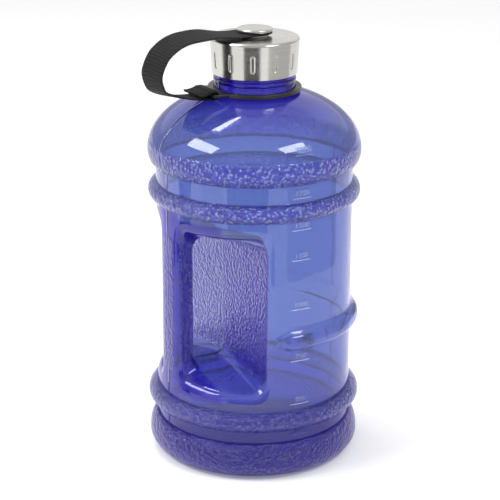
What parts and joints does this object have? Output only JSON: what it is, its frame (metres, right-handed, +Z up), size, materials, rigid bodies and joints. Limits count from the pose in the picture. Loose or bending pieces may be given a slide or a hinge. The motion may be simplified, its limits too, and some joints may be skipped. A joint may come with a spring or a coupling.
{
  "type": "water jug",
  "caption": "Large round water jug with a moulded-in grip, grip rings, a finger ridge, a steel screw cap and a webbing tether on a neck collar.",
  "frame": {"origin": "on the jug's axis at the level of its foot ring, under the middle of the base panel", "axes": "+Z up along the jug's and the cap's axis; the grip and the strap towards -X; the mould's parting plane is XZ; the litre scale faces -Y"},
  "size_m": [0.1391, 0.1334, 0.273],
  "materials": {
    "blue_copolyester": "clear tinted, glossy, with pebbled grip bands",
    "black_polypropylene": "satin moulded",
    "black_webbing": "ribbed nylon weave",
    "plated_eyelet": "plated",
    "natural_nylon": "moulded",
    "brushed_stainless": "brushed",
    "polished_stainless": "fine satin",
    "clear_silicone": "matte"
  },
  "bodies": {
    "jug": {"jug_body": "blue_copolyester"},
    "tether": {"neck_collar": "black_polypropylene", "strap": "black_webbing"},
    "strap_end": {"strap_eyelet": "plated_eyelet"},
    "washer": {"swivel_washer": "natural_nylon"},
    "cap": {"cap_shell": "brushed_stainless", "cap_core": "black_polypropylene", "cap_seal": "clear_silicone", "cap_button": "polished_stainless", "cap_washer": "plated_eyelet", "cap_nut": "plated_eyelet"}
  },
  "joints": [
    {"name": "tether_swivel", "type": "hinge", "parent": "jug", "child": "tether", "pos_m": [0, 0, 0.235], "axis": [0, 0, 1], "continuous": true},
    {"name": "strap_end_rise", "type": "slide", "parent": "tether", "child": "strap_end", "axis": [0, 0, 1], "range_m": [0, 0.018], "deforming": ["strap"]},
    {"name": "cap_rise", "type": "slide", "parent": "jug", "child": "washer", "axis": [0, 0, 1], "range_m": [0, 0.018]},
    {"name": "cap_turn", "type": "hinge", "parent": "washer", "child": "cap", "pos_m": [0, 0, 0.25], "axis": [0, 0, 1], "range_deg": [0, 1620]}
  ],
  "couplings": [
    {"joint": "cap_rise", "follows": "cap_turn", "m_per_rad": 0.00063662},
    {"joint": "strap_end_rise", "follows": "cap_turn", "m_per_rad": 0.00063662}
  ]
}
